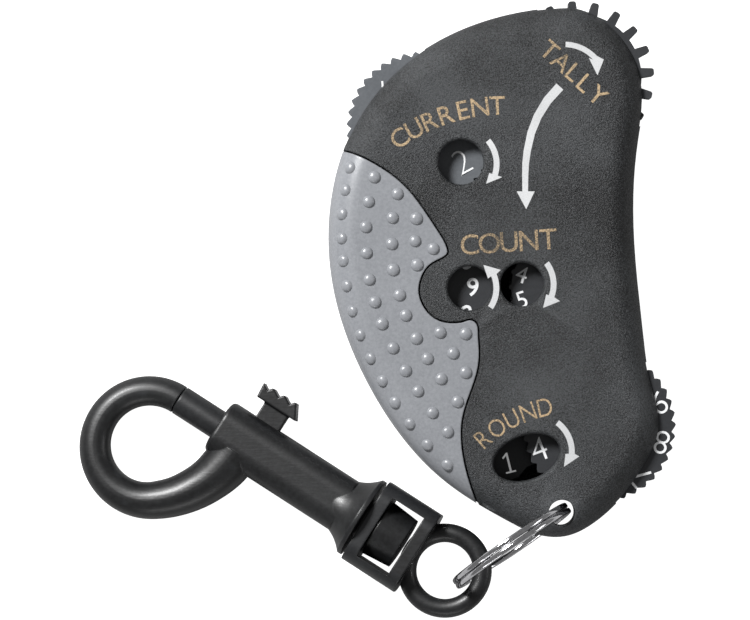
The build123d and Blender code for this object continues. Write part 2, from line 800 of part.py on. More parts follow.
# ---------------------------------------------------------------- detent leaf springs
# Each is a flat strip fixed beside its wheel, with a small V that sits in a valley of the wheel's edge.
for name, (centre, edge_radius, angle, low, high) in detent_places.items():
    tip = polar(centre, edge_radius - leaf_depth_in_valley, angle)
    leaf_plane = Plane(origin=(tip[0], tip[1], low), x_dir=(Vector(1, 0, 0).rotate(Axis.Z, angle)), z_dir=(0, 0, 1))
    with BuildPart(leaf_plane) as leaf:
        with BuildSketch(leaf_plane):
            with BuildLine():
                Polyline(
                    (leaf_stand_off, -leaf_half_length),
                    (leaf_stand_off, -leaf_v_half_width),
                    (0, -leaf_v_tip_half_width),
                    (0, leaf_v_tip_half_width),
                    (leaf_stand_off, leaf_v_half_width),
                    (leaf_stand_off, leaf_half_length),
                    (leaf_stand_off + leaf_thickness, leaf_half_length),
                    (leaf_stand_off + leaf_thickness, -leaf_half_length),
                    close=True,
                )
            make_face()
        extrude(amount=high - low - leaf_end_play)
    leaf.part.label = f"{name}_detent_spring"
    export_step(leaf.part, f"parts/{name}_detent_spring.step")

# ---------------------------------------------------------------- split ring
# Two flat coils lie side by side. A short bridge joins them between the two cut ends.
ring_axis_angle = ring_heading - 90
ring_centre = lanyard_hole + Vector(ring_to_hole, 0, 0).rotate(Axis.Z, ring_heading)
ring_across = Vector(1, 0, 0).rotate(Axis.Z, ring_axis_angle)
ring_plane = Plane(
    origin=(ring_centre.X, ring_centre.Y, ring_height),
    x_dir=Vector(1, 0, 0).rotate(Axis.Z, ring_heading),
    z_dir=ring_across * math.cos(math.radians(ring_lean)) - Vector(0, 0, math.sin(math.radians(ring_lean))),
)
ring_half = ring_wire_thickness + ring_layer_gap / 2
with BuildPart() as split_ring:
    with BuildSketch(ring_plane.offset(-ring_half)):
        Circle(ring_outer_radius)
        Circle(ring_inner_radius, mode=Mode.SUBTRACT)
    extrude(amount=2 * ring_half)
    with BuildSketch(ring_plane.offset(-ring_layer_gap / 2)):
        Circle(ring_outer_radius + 1)
        with BuildLine():
            Polyline(
                (0, 0),
                (2 * ring_outer_radius, -2 * ring_outer_radius * math.tan(math.radians(ring_bridge_angle))),
                (2 * ring_outer_radius, 2 * ring_outer_radius * math.tan(math.radians(ring_bridge_angle))),
                close=True,
            )
        make_face(mode=Mode.SUBTRACT)
    extrude(amount=ring_layer_gap, mode=Mode.SUBTRACT)
    for side, sign in ((-ring_half - 0.1, 1), (ring_layer_gap / 2, -1)):
        cut_at = Vector(0.5 * (ring_outer_radius + ring_inner_radius), 0).rotate(Axis.Z, sign * ring_cut_angle)
        with BuildSketch(ring_plane.offset(side)):
            with Locations(Location((cut_at.X, cut_at.Y), sign * ring_cut_angle)):
                Rectangle(4, ring_cut_width)
        extrude(amount=ring_wire_thickness + 0.1, mode=Mode.SUBTRACT)
split_ring.part.label = "split_ring"
export_step(split_ring.part, "parts/split_ring.step")

# ---------------------------------------------------------------- snap hook frame of reference
# Local X runs from the swivel eye to the hook's nose, local Y to the thumb knob, local Z towards the table.
droop = math.radians(hook_droop)
hook_flat = Vector(1, 0, 0).rotate(Axis.Z, hook_heading)
hook_x = Vector(hook_flat.X * math.cos(droop), hook_flat.Y * math.cos(droop), -math.sin(droop))
hook_z = Vector(hook_flat.X * math.sin(droop), hook_flat.Y * math.sin(droop), math.cos(droop))
hook_plane = Plane(origin=eye_centre, x_dir=hook_x, z_dir=-hook_z)
hook_side = hook_plane.y_dir


def along(distance):
    """Plane across the hook's axis at a distance from the eye, its X to local Y and its Y to local Z."""
    return Plane(origin=eye_centre + hook_x * distance, x_dir=hook_side, z_dir=hook_x)


def hook_stations():
    """Centre, direction and wire radius of the hook's round sections, from the barrel to the nose."""
    loop_centre = Vector(gate_tip + nose_gap, -hook_loop_radius)
    loop_start = Vector(*polar(loop_centre, hook_loop_radius, hook_loop_start_angle))
    loop_start_way = Vector(1, 0).rotate(Axis.Z, hook_loop_start_angle + 90)
    first = Vector(*hook_tail_start)
    second = first - Vector(0, hook_tail_start_pull)
    third = loop_start - loop_start_way * hook_tail_end_pull
    stations = []
    for step in range(hook_tail_sections):
        u = step / hook_tail_sections
        v = 1 - u
        place = first * v**3 + second * (3 * u * v**2) + third * (3 * u**2 * v) + loop_start * u**3
        way = (second - first) * v**2 + (third - second) * (2 * u * v) + (loop_start - third) * u**2
        stations.append((place, way.normalized()))
    for step in range(hook_loop_sections + 1):
        angle = hook_loop_start_angle + (90 - hook_loop_start_angle) * step / hook_loop_sections
        place = Vector(*polar(loop_centre, hook_loop_radius, angle))
        stations.append((place, Vector(1, 0).rotate(Axis.Z, angle + 90)))
    run = [0]
    for (place, _), (next_place, _) in zip(stations, stations[1:]):
        run.append(run[-1] + (next_place - place).length)
    result = []
    for (place, way), distance in zip(stations, run):
        swell = (hook_root_radius - hook_nose_radius) * (1 - distance / run[-1]) ** hook_taper_power
        solid_way = hook_plane.x_dir * way.X + hook_plane.y_dir * way.Y
        result.append((hook_plane.from_local_coords(place), solid_way, hook_nose_radius + swell))
    return result


# ---------------------------------------------------------------- swivel eye with its yoke
with BuildPart() as swivel_eye:
    with BuildSketch(along(yoke_start)):
        RectangleRounded(yoke_width, yoke_thickness, yoke_corner_radius)
    extrude(amount=yoke_end - yoke_start)
    with BuildSketch(hook_plane.offset(-yoke_thickness)):
        with Locations(((yoke_start + yoke_end) / 2, 0)):
            Rectangle(yoke_end - yoke_start - 2 * yoke_bar, window_width)
    extrude(amount=2 * yoke_thickness, mode=Mode.SUBTRACT)
    with BuildSketch(along(yoke_end - yoke_bar - 0.5)):
        Circle(swivel_neck_radius + 0.08)
    extrude(amount=yoke_bar + 1, mode=Mode.SUBTRACT)
    with BuildSketch(Plane(origin=eye_centre, x_dir=hook_x, z_dir=-hook_side)):
        with Locations((eye_radius, 0)):
            Circle(eye_wire_radius)
    revolve(axis=Axis(origin=eye_centre, direction=hook_z), revolution_arc=360)
swivel_eye.part.label = "swivel_eye"
export_step(swivel_eye.part, "parts/swivel_eye.step")

# ---------------------------------------------------------------- hook body: head, neck, flange, barrel and hook
head_start = yoke_end - yoke_bar - 0.2
with BuildPart() as hook_body:
    with BuildSketch(hook_plane):
        with BuildLine():
            Polyline(
                (head_start - swivel_head_length, 0),
                (head_start - swivel_head_length, swivel_head_tip_radius),
                (head_start, swivel_head_radius),
                (head_start, swivel_neck_radius),
                (flange_start, swivel_neck_radius),
                (flange_start, flange_radius),
                (flange_start + flange_thickness, flange_radius),
            )
            Spline(
                (flange_start + flange_thickness, flange_radius),
                (flange_start + 4 * flange_thickness, flare_middle_radius),
                (flare_end + flange_thickness, flare_end_radius),
            )
            Polyline(
                (flare_end + flange_thickness, flare_end_radius),
                (flare_end + flange_thickness, 0),
                (head_start - swivel_head_length, 0),
            )
        make_face()
    revolve(axis=Axis(origin=eye_centre, direction=hook_x), revolution_arc=360)
    with BuildSketch(along(flare_end - 1.5)):
        RectangleRounded(barrel_width, barrel_thickness, barrel_corner_radius)
    extrude(amount=barrel_end - flare_end + 1.5)
    fillet(hook_body.faces().sort_by(Axis(origin=eye_centre, direction=hook_x))[-1].edges(), radius=barrel_end_rounding)
    for place, way, radius in hook_stations():
        with BuildSketch(Plane(origin=place, x_dir=hook_z, z_dir=way)):
            Circle(radius)
    loft()
    with BuildSketch(along(gate_bore_start)):
        Circle(gate_bore_radius)
    extrude(amount=barrel_end - gate_bore_start + 1, mode=Mode.SUBTRACT)
    with BuildSketch(Plane(origin=eye_centre, x_dir=hook_x, z_dir=-hook_side)):
        with Locations((knob_centre - gate_travel / 2, 0)):
            Rectangle(knob_stem_length + gate_travel + 2 * slot_clearance, knob_stem_width + 2 * slot_clearance)
    extrude(amount=-barrel_width, mode=Mode.SUBTRACT)
hook_body.part.label = "hook_body"
export_step(hook_body.part, "parts/hook_body.step")

# ---------------------------------------------------------------- sliding gate
with BuildPart() as hook_gate:
    with BuildSketch(along(gate_back)):
        Circle(gate_radius)
    extrude(amount=gate_tip - gate_back)
    chamfer(hook_gate.edges(), length=0.15)
    with BuildSketch(Plane(origin=eye_centre, x_dir=hook_x, z_dir=-hook_side).offset(-knob_stem_foot)):
        with Locations((knob_centre, 0)):
            Rectangle(knob_stem_length + 0.04, knob_stem_width + 0.04)
    extrude(amount=-gate_radius, mode=Mode.SUBTRACT)
hook_gate.part.label = "hook_gate"
export_step(hook_gate.part, "parts/hook_gate.step")

# ---------------------------------------------------------------- thumb knob on the gate
ridge_pitch = knob_length / (knob_ridges - 0.25)
with BuildPart() as gate_thumb_knob:
    with BuildSketch(Plane(origin=eye_centre, x_dir=hook_x, z_dir=-hook_side).offset(-knob_stem_foot - 0.02)):
        with Locations((knob_centre, 0)):
            Rectangle(knob_stem_length, knob_stem_width)
    extrude(amount=-(knob_stem_top - knob_stem_foot))
    with BuildSketch(hook_plane.offset(-knob_width / 2)):
        with BuildLine():
            crest = knob_stem_top + knob_height
            start = knob_centre + knob_length / 2
            ridge_points = [(start - 0.2, knob_stem_top), (start, crest + knob_ridge_height)]
            for ridge in range(knob_ridges - 1):
                valley = start - (ridge + 0.55) * ridge_pitch
                ridge_points.append((valley, crest))
                ridge_points.append((valley - 0.25 * ridge_pitch, crest + knob_ridge_height))
                ridge_points.append((valley - 0.45 * ridge_pitch, crest + knob_ridge_height))
            ridge_points.append((start - knob_length + 0.2, knob_stem_top))
            Polyline(*ridge_points, close=True)
        make_face()
    extrude(amount=knob_width)
gate_thumb_knob.part.label = "gate_thumb_knob"
export_step(gate_thumb_knob.part, "parts/gate_thumb_knob.step")

# ---------------------------------------------------------------- gate return spring
coil_start = gate_bore_start + coil_wire_radius + 0.1
coil_end = gate_back - coil_wire_radius - 0.1
with BuildPart() as gate_spring:
    with BuildLine():
        coil = Helix(
            pitch=(coil_end - coil_start) / coil_turns,
            height=coil_end - coil_start,
            radius=coil_radius,
            center=eye_centre + hook_x * coil_start,
            direction=hook_x,
        )
    with BuildSketch(Plane(coil @ 0, z_dir=coil % 0)):
        Circle(coil_wire_radius)
    sweep(path=coil, is_frenet=True)
gate_spring.part.label = "gate_spring"
export_step(gate_spring.part, "parts/gate_spring.step")
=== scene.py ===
import math
import random

import bpy
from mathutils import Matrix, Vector
from mathutils.bvhtree import BVHTree


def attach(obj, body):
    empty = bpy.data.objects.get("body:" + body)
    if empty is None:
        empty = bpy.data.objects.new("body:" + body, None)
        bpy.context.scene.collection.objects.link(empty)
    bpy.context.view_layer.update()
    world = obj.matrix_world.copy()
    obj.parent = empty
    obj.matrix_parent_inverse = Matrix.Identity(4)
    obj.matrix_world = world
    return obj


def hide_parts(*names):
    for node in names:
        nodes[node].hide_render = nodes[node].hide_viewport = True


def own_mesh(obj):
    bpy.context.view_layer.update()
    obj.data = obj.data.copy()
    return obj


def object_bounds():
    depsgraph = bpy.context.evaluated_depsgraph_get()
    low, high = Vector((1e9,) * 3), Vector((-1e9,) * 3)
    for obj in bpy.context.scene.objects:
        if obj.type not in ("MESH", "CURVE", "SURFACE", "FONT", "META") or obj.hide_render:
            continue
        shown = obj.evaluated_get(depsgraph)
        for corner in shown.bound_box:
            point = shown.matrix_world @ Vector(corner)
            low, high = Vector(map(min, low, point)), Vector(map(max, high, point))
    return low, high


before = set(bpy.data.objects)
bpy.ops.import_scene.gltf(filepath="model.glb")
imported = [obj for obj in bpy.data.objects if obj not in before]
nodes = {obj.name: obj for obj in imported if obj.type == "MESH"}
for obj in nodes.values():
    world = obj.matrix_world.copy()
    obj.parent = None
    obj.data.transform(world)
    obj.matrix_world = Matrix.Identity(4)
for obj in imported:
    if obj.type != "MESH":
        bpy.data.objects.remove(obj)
box_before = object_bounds()
draw = random.Random(7)
MM = 0.001

# ---------------------------------------------------------------- materials


def linear(value):
    """One sRGB channel (0-255) as a linear share."""
    v = value / 255
    return v / 12.92 if v <= 0.04045 else ((v + 0.055) / 1.055) ** 2.4


def colour(r, g, b):
    return (linear(r), linear(g), linear(b), 1.0)


def surface(name, dark, light, rough, metal=0.0, grain=2500.0, bump=0.2, bump_depth=0.02, patch=120.0,
            edge=0.0, edge_colour=None, rim=0.15, coat=0.0, specular=0.5, rough_spread=0.1, scratches=0.0,
            spread_low=0.36, spread_high=0.66, glow=0.0):
    """Procedural finish: patchy colour, fine grain, uneven roughness, worn edges and rounded-edge shading; an optional
    glow paints light into the colour.
    """
    m = bpy.data.materials.new(name)
    m.use_nodes = True
    tree = m.node_tree
    n, link = tree.nodes, tree.links.new
    shader = n["Principled BSDF"]
    shader.inputs["Metallic"].default_value = metal
    shader.inputs["Coat Weight"].default_value = coat
    shader.inputs["Coat Roughness"].default_value = 0.12
    shader.inputs["Specular IOR Level"].default_value = specular
    where = n.new("ShaderNodeTexCoord")
    broad = n.new("ShaderNodeTexNoise")
    broad.inputs["Scale"].default_value = patch
    broad.inputs["Detail"].default_value = 5.0
    fine = n.new("ShaderNodeTexNoise")
    fine.inputs["Scale"].default_value = grain
    fine.inputs["Detail"].default_value = 3.0
    fine.inputs["Roughness"].default_value = 0.65
    link(where.outputs["Object"], broad.inputs["Vector"])
    link(where.outputs["Object"], fine.inputs["Vector"])
    blend = n.new("ShaderNodeMath")
    blend.operation = "MULTIPLY_ADD"
    blend.inputs[1].default_value = 0.62
    link(fine.outputs["Fac"], blend.inputs[0])
    half = n.new("ShaderNodeMath")
    half.operation = "MULTIPLY"
    half.inputs[1].default_value = 0.38
    link(broad.outputs["Fac"], half.inputs[0])
    link(half.outputs[0], blend.inputs[2])
    ramp = n.new("ShaderNodeValToRGB")
    ramp.color_ramp.elements[0].position = spread_low
    ramp.color_ramp.elements[0].color = dark
    ramp.color_ramp.elements[1].position = spread_high
    ramp.color_ramp.elements[1].color = light
    link(blend.outputs[0], ramp.inputs["Fac"])
    base = ramp.outputs["Color"]
    if edge:
        geometry = n.new("ShaderNodeNewGeometry")
        worn = n.new("ShaderNodeMapRange")
        worn.inputs["From Min"].default_value = 0.53
        worn.inputs["From Max"].default_value = 0.62
        worn.inputs["To Max"].default_value = edge
        link(geometry.outputs["Pointiness"], worn.inputs["Value"])
        mix = n.new("ShaderNodeMix")
        mix.data_type = "RGBA"
        mix.inputs["B"].default_value = edge_colour or light
        link(worn.outputs["Result"], mix.inputs["Factor"])
        link(base, mix.inputs["A"])
        base = mix.outputs["Result"]
    link(base, shader.inputs["Base Color"])
    # Painted light: with glow set, the colour also shines by itself, though the part is no lamp
    if glow:
        link(base, shader.inputs["Emission Color"])
        shader.inputs["Emission Strength"].default_value = glow
    spread = n.new("ShaderNodeMapRange")
    spread.inputs["To Min"].default_value = max(0.02, rough - rough_spread)
    spread.inputs["To Max"].default_value = min(1.0, rough + rough_spread)
    link(broad.outputs["Fac"], spread.inputs["Value"])
    link(spread.outputs["Result"], shader.inputs["Roughness"])
    rounded = n.new("ShaderNodeBevel")
    rounded.samples = 6
    rounded.inputs["Radius"].default_value = rim * MM
    height = fine.outputs["Fac"]
    if scratches:
        stretch = n.new("ShaderNodeMapping")
        stretch.inputs["Scale"].default_value = (1.0, 9.0, 3.0)
        stretch.inputs["Rotation"].default_value = (0.3, 0.2, 0.7)
        link(where.outputs["Object"], stretch.inputs["Vector"])
        lines = n.new("ShaderNodeTexNoise")
        lines.inputs["Scale"].default_value = 420.0
        lines.inputs["Detail"].default_value = 2.0
        link(stretch.outputs["Vector"], lines.inputs["Vector"])
        add = n.new("ShaderNodeMath")
        add.operation = "MULTIPLY_ADD"
        add.inputs[1].default_value = scratches
        link(lines.outputs["Fac"], add.inputs[0])
        link(height, add.inputs[2])
        height = add.outputs[0]
    relief = n.new("ShaderNodeBump")
    relief.inputs["Strength"].default_value = bump
    relief.inputs["Distance"].default_value = bump_depth * MM
    link(height, relief.inputs["Height"])
    link(rounded.outputs["Normal"], relief.inputs["Normal"])
    link(relief.outputs["Normal"], shader.inputs["Normal"])
    return m


casing_plastic = surface("casing_plastic", colour(4, 5, 6), colour(62, 64, 66), 0.46, grain=4700, bump=1.0,
                         bump_depth=0.2, edge=0.3, edge_colour=colour(80, 82, 84), rim=0.25, patch=70,
                         specular=0.42, spread_low=0.42, spread_high=0.6)
grip_rubber = surface("grip_rubber", colour(120, 122, 126), colour(136, 138, 142), 0.3, grain=2600, bump=0.3,
                      bump_depth=0.04, rim=0.3, patch=40, specular=0.6)
wheel_plastic = surface("wheel_plastic", colour(16, 17, 18), colour(30, 31, 33), 0.42, grain=2600, bump=0.4,
                        bump_depth=0.04, edge=0.3, edge_colour=colour(70, 72, 76), rim=0.12, patch=150)
grey_wheel_plastic = surface("grey_wheel_plastic", colour(54, 58, 62), colour(74, 78, 82), 0.42, grain=2600,
                             bump=0.4, bump_depth=0.04, edge=0.3, edge_colour=colour(120, 122, 126), rim=0.12)
gear_plastic = surface("gear_plastic", colour(196, 192, 182), colour(216, 212, 204), 0.45, grain=2000, rim=0.1)
hook_plastic = surface("hook_plastic", colour(12, 12, 13), colour(28, 29, 30), 0.42, grain=1600, bump=0.25,
                       bump_depth=0.05, rim=0.3, patch=90, coat=0.04, edge=0.15, edge_colour=colour(60, 62, 66),
                       scratches=0.8)
ring_steel = surface("ring_steel", colour(205, 205, 208), colour(238, 238, 240), 0.09, metal=1.0, grain=1500,
                     bump=0.1, bump_depth=0.02, rim=0.12, rough_spread=0.04, scratches=0.5)
screw_steel = surface("screw_steel", colour(150, 150, 154), colour(190, 190, 194), 0.3, metal=1.0, grain=1500,
                      rim=0.1)
pin_steel = surface("pin_steel", colour(140, 140, 145), colour(180, 180, 184), 0.25, metal=1.0, rim=0.1)
spring_steel = surface("spring_steel", colour(130, 130, 134), colour(176, 176, 178), 0.25, metal=1.0, rim=0.05)
lettering = surface("lettering", colour(70, 62, 50), colour(176, 152, 118), 0.6, grain=4200, bump=0.8,
                    bump_depth=0.05, rim=0.02, spread_low=0.42, spread_high=0.58)
arrow_print = surface("arrow_print", colour(172, 173, 174), colour(198, 199, 200), 0.5, grain=5200, bump=0.6,
                      bump_depth=0.04, rim=0.02)
digit_print = surface("digit_print", colour(206, 208, 210), colour(240, 240, 240), 0.5, grain=4200, bump=0.4,
                      bump_depth=0.03, rim=0.02)
# Digit print that glows: painted light that brightens print lying deep in the shaded recess of the case
glowing_digit_print = surface("glowing_digit_print", colour(196, 198, 200), colour(226, 226, 226), 0.5, grain=4200,
                           bump=0.4, bump_depth=0.03, rim=0.02, glow=0.3)

finishes = {
    "casing_plastic": casing_plastic,
    "grip_rubber": grip_rubber,
    "wheel_plastic": wheel_plastic,
    "grey_wheel_plastic": grey_wheel_plastic,
    "gear_plastic": gear_plastic,
    "hook_plastic": hook_plastic,
    "ring_steel": ring_steel,
    "screw_steel": screw_steel,
    "pin_steel": pin_steel,
    "spring_steel": spring_steel,
}
for node in nodes.values():
    slot_name = node.data.materials[0].name.split(".")[0]
    node.data.materials.clear()
    node.data.materials.append(finishes[slot_name])

# ---------------------------------------------------------------- helpers that build pieces


def piece(name, vertices, faces, material, body, slot, smooth=True):
    """New mesh from points in millimetres, faces outwards, riding on a body."""
    volume = 0.0
    for face in faces:
        corners = [Vector(vertices[i]) for i in face]
        for b, c in zip(corners[1:], corners[2:]):
            volume += corners[0].dot(b.cross(c))
    if volume < 0:
        faces = [tuple(reversed(face)) for face in faces]
    mesh = bpy.data.meshes.new(name)
    mesh.from_pydata([tuple(c * MM for c in v) for v in vertices], [], faces)
    mesh.validate()
    mesh.update()
    if smooth:
        mesh.shade_smooth()
    o = bpy.data.objects.new(name, mesh)
    bpy.context.scene.collection.objects.link(o)
    mesh.materials.append(material)
    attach(o, body)
    return o


PRINT = 0.03


def slab(outline, top, depth=2 * PRINT):
    """Closed slab from a flat outline; as print, its top stands a hair above the surface."""
    count = len(outline)
    if sum(outline[i - 1][0] * outline[i][1] - outline[i][0] * outline[i - 1][1] for i in range(count)) < 0:
        outline = outline[::-1]
    vertices = [(x, y, top) for x, y in outline] + [(x, y, top - depth) for x, y in outline]
    faces = [tuple(range(count)), tuple(reversed(range(count, 2 * count)))]
    for i in range(count):
        j = (i + 1) % count
        faces.append((i, i + count, j + count, j))
    return vertices, faces


def merged(parts):
    """Several (vertices, faces) pairs as one."""
    vertices, faces = [], []
    for part_vertices, part_faces in parts:
        start = len(vertices)
        vertices += part_vertices
        faces += [tuple(i + start for i in f) for f in part_faces]
    return vertices, faces


glyph_cache = {}


def glyph(character, weight):
    """Flat mesh of one character, one unit high and centred, as (vertices, faces)."""
    key = (character, weight)
    if key not in glyph_cache:
        text = bpy.data.curves.new("glyph", "FONT")
        text.body = character
        text.resolution_u = 8
        text.extrude = 0.02
        text.offset = weight
        holder = bpy.data.objects.new("glyph", text)
        bpy.context.scene.collection.objects.link(holder)
        bpy.context.view_layer.update()
        mesh = bpy.data.meshes.new_from_object(holder.evaluated_get(bpy.context.evaluated_depsgraph_get()))
        points = [v.co.copy() for v in mesh.vertices]
        faces = [tuple(p.vertices) for p in mesh.polygons]
        low = Vector((min(p.x for p in points), min(p.y for p in points)))
        high = Vector((max(p.x for p in points), max(p.y for p in points)))
        size = high.y - low.y
        middle = (low + high) / 2
        flat = [((p.x - middle.x) / size, (p.y - middle.y) / size, p.z) for p in points]
        glyph_cache[key] = (flat, faces)
        bpy.data.objects.remove(holder)
        bpy.data.curves.remove(text)
        bpy.data.meshes.remove(mesh)
    return glyph_cache[key]


def placed(character, x, y, top, height, tilt, weight=0.004, stretch=1.0):
    """One character standing on a surface, its middle at x, y and turned by tilt degrees."""
    flat, faces = glyph(character, weight)
    c, s = math.cos(math.radians(tilt)), math.sin(math.radians(tilt))
    vertices = []
    for px, py, pz in flat:
        px, py = px * height * stretch, py * height
        vertices.append((x + px * c - py * s, y + px * s + py * c, top if pz > 0 else top - 2 * PRINT))
    return vertices, faces


ONE = [(-0.25, -0.5), (0.25, -0.5), (0.25, -0.42), (0.05, -0.42), (0.05, 0.5), (-0.03, 0.5), (-0.26, 0.3),
       (-0.22, 0.23), (-0.05, 0.36), (-0.05, -0.42), (-0.25, -0.42)]


def footed_one(x, y, top, height, tilt):
    """Figure one with a flag and a foot."""
    c, s = math.cos(math.radians(tilt)), math.sin(math.radians(tilt))
    return slab([(x + height * (px * c - py * s), y + height * (px * s + py * c)) for px, py in ONE], top)


def arc_points(centre, radius, start, end, steps):
    return [
        (
            centre[0] + radius * math.cos(math.radians(start + (end - start) * i / steps)),
            centre[1] + radius * math.sin(math.radians(start + (end - start) * i / steps)),
        )
        for i in range(steps + 1)
    ]


def curved_arrow(centre, radius, band, start, end, corner_out, corner_in, tip, top):
    """Curved arrow: a band from start to end angle, then a head through three points."""
    outer = arc_points(centre, radius + band / 2, start, end, 24)
    inner = arc_points(centre, radius - band / 2, end, start, 24)
    outline = outer + [corner_out, tip, corner_in] + inner
    return slab(outline, top)


# ---------------------------------------------------------------- printing on the face
FACE = 14.0 + PRINT
word_parts = []
for i, character in enumerate("CURRENT"):
    tilt = 34.5 - (34.5 - 2.0) * i / 6
    word_parts.append(placed(character, 1.9 - 26.2 * math.sin(math.radians(tilt)),
                             -2.8 + 26.2 * math.cos(math.radians(tilt)), FACE, 2.66, tilt))
piece("print_current", *merged(word_parts), lettering, "casing", "casing_plastic", smooth=False)
word_parts = []
for character, (x, y) in zip("TALLY", [(8.42, 31.26), (10.15, 29.66), (11.88, 28.1), (13.5, 26.56), (15.3, 24.85)]):
    word_parts.append(placed(character, x, y, FACE, 2.58, -41))
piece("print_tally", *merged(word_parts), lettering, "casing", "casing_plastic", smooth=False)
word_parts = []
for i, character in enumerate("COUNT"):
    word_parts.append(placed(character, -2.94 + 11.2 * i / 4, 3.59 + 0.8 * i / 4, FACE, 2.9, 4))
piece("print_count", *merged(word_parts), lettering, "casing", "casing_plastic", smooth=False)
word_parts = []
for i, character in enumerate("ROUND"):
    tilt = 42 - 7.5 * i
    word_parts.append(placed(character, 11.7 - 19.05 * math.sin(math.radians(tilt)),
                             -38.2 + 19.05 * math.cos(math.radians(tilt)), FACE, 2.55, tilt, -0.006, 0.86))
piece("print_round", *merged(word_parts), lettering, "casing", "casing_plastic", smooth=False)


def at(centre, radius, angle):
    return (centre[0] + radius * math.cos(math.radians(angle)), centre[1] + radius * math.sin(math.radians(angle)))


c = (-4.16, 15.1)
current = curved_arrow(c, 5.05, 0.83, 41, -18, at(c, 6.15, -18), at(c, 4.2, -18), at(c, 4.55, -38.6), FACE)
c = (-4.1, -2.6)
count_left = curved_arrow(c, 4.95, 0.83, -34, 22, at(c, 6.15, 25), at(c, 4.0, 20), at(c, 4.53, 47), FACE)
c = (4.0, -2.05)
count_right = curved_arrow(c, 5.0, 0.83, 37, -20, at(c, 6.39, -22), at(c, 4.2, -20), at(c, 4.85, -44), FACE)
c = (6.4, -25.9)
round_arrow = curved_arrow(c, 5.2, 0.83, 53, -3, at(c, 6.3, -6), at(c, 4.3, -4), at(c, 4.6, -27.6), FACE)
c = (10.5, 26.1)
tally_small = curved_arrow(c, 6.0, 0.78, 88, 43, (16.15, 29.96), (14.0, 30.2), (15.25, 27.7), FACE)
line = [(9.89, 26.1), (8.1, 24.1), (6.72, 21.83), (5.8, 19.5), (5.25, 16.98), (5.02, 15.2), (4.96, 13.5), (4.96, 11.18)]
left, right = [], []
for i, (x, y) in enumerate(line):
    before = line[max(i - 1, 0)]
    after = line[min(i + 1, len(line) - 1)]
    way = Vector((after[0] - before[0], after[1] - before[1])).normalized()
    half_width = (1.33 + (0.8 - 1.33) * i / (len(line) - 1)) / 2
    left.append((x - way.y * half_width, y + way.x * half_width))
    right.append((x + way.y * half_width, y - way.x * half_width))
tally_long = slab(right + [(3.74, 11.18), (5.1, 8.64), (6.31, 11.18)] + left[::-1], FACE)
piece("print_arrows", *merged([current, count_left, count_right, round_arrow, tally_small, tally_long]),
      arrow_print, "casing", "casing_plastic", smooth=False)

# ---------------------------------------------------------------- digits on the wheels
WHEEL_TOP = 11.0 + PRINT


def digit_ring(name, body, slot, centre, radius, start_digit, start_angle, step, top, height, tilt_extra, weight,
               stretch=1.0):
    """Ten digits round a wheel, each turned with it."""
    parts = []
    for i in range(10):
        angle = start_angle + step * i
        x, y = at(centre, radius, angle)
        parts.append(placed(str((start_digit + i) % 10), x, y, top, height, angle + tilt_extra, weight, stretch))
    return piece(name, *merged(parts), digit_print, body, slot, smooth=False)


def heading(centre, point):
    return math.degrees(math.atan2(point[1] - centre[1], point[0] - centre[0]))


def reach(centre, point):
    return math.hypot(point[0] - centre[0], point[1] - centre[1])


strokes_centre = (-9.57, 20.36)
spot = (-3.98, 15.47)
digit_ring("current_digits", "strokes_counter", "grey_wheel_plastic", strokes_centre, reach(strokes_centre, spot),
           2, heading(strokes_centre, spot), 36, WHEEL_TOP, 3.5, 28 - heading(strokes_centre, spot), -0.022)
tens_centre = (-8.86, -2.43)
digit_ring("count_tens_digits", "score_tens", "wheel_plastic", tens_centre, 6.43, 9, 0, -36, WHEEL_TOP, 2.66, 0,
           0.012)
units_centre = (10.14, -2.43)
digit_ring("count_units_digits", "score_units", "wheel_plastic", units_centre, 5.86, 4, 162, 36, WHEEL_TOP, 2.4, 180,
           0.0)
holes_centre = (15.64, -22.29)
digit_ring("round_units_digits", "holes_units", "wheel_plastic", holes_centre, 9.25, 4, -158.8, 36, WHEEL_TOP,
           3.3, 180, -0.012)
holes_tens_centre = (1.0, -22.14)
spot = (2.82, -27.69)
parts = []
for i in range(5):
    x, y = at(holes_tens_centre, reach(holes_tens_centre, spot), heading(holes_tens_centre, spot) + 72 * i)
    parts.append(footed_one(x, y, 7.6 + PRINT, 2.96, 14 + 72 * i))
# The tens digits use the glowing print: painted light in place of light reaching the deep wheel
piece("round_tens_digits", *merged(parts), glowing_digit_print, "holes_tens", "wheel_plastic", smooth=False)

# ---------------------------------------------------------------- filler in the seam at the grip's lower tip
seam_tip = [(-2.88, -31.15), (-2.1, -33.1), (-1.45, -33.5), (-2.36, -30.96)]
piece("seam_filler", *slab(seam_tip, 7.9, 3.0), wheel_plastic, "casing", "casing_plastic", smooth=False)

# ---------------------------------------------------------------- bumps moulded on the grip
bump_columns = [
    (-20.05, 14.6), (-20.7, 11.4), (-21.2, 8.0), (-21.2, 4.5), (-21.0, 1.3), (-20.5, -2.3), (-19.7, -5.9),
    (-16.5, 13.2), (-17.3, 9.7), (-17.7, 6.1), (-17.6, 2.4), (-17.2, -1.4), (-16.4, -4.6), (-15.4, -7.7),
    (-13.2, 10.8), (-13.9, 7.4), (-14.0, 3.7), (-13.8, 0.0), (-12.9, -3.6), (-12.0, -6.5),
    (-10.5, 7.3), (-10.7, 4.1), (-10.4, 0.7), (-8.1, 3.0),
]


def crop_point(px, py):
    """Place of a point measured in the enlarged lower-left quarter of the grip's face view."""
    return (-23.57 + px * 0.032823, 17.14 - py * 0.032823)


for px, py in [(152, 806), (197, 908), (248, 1006), (303, 1100), (368, 1192), (444, 1284), (531, 1372),
               (297, 862), (351, 960), (405, 1049), (468, 1143), (534, 1226),
               (398, 820), (446, 908), (506, 996), (577, 1095),
               (501, 794), (558, 885), (612, 968), (612, 800)]:
    bump_columns.append(crop_point(px, py))

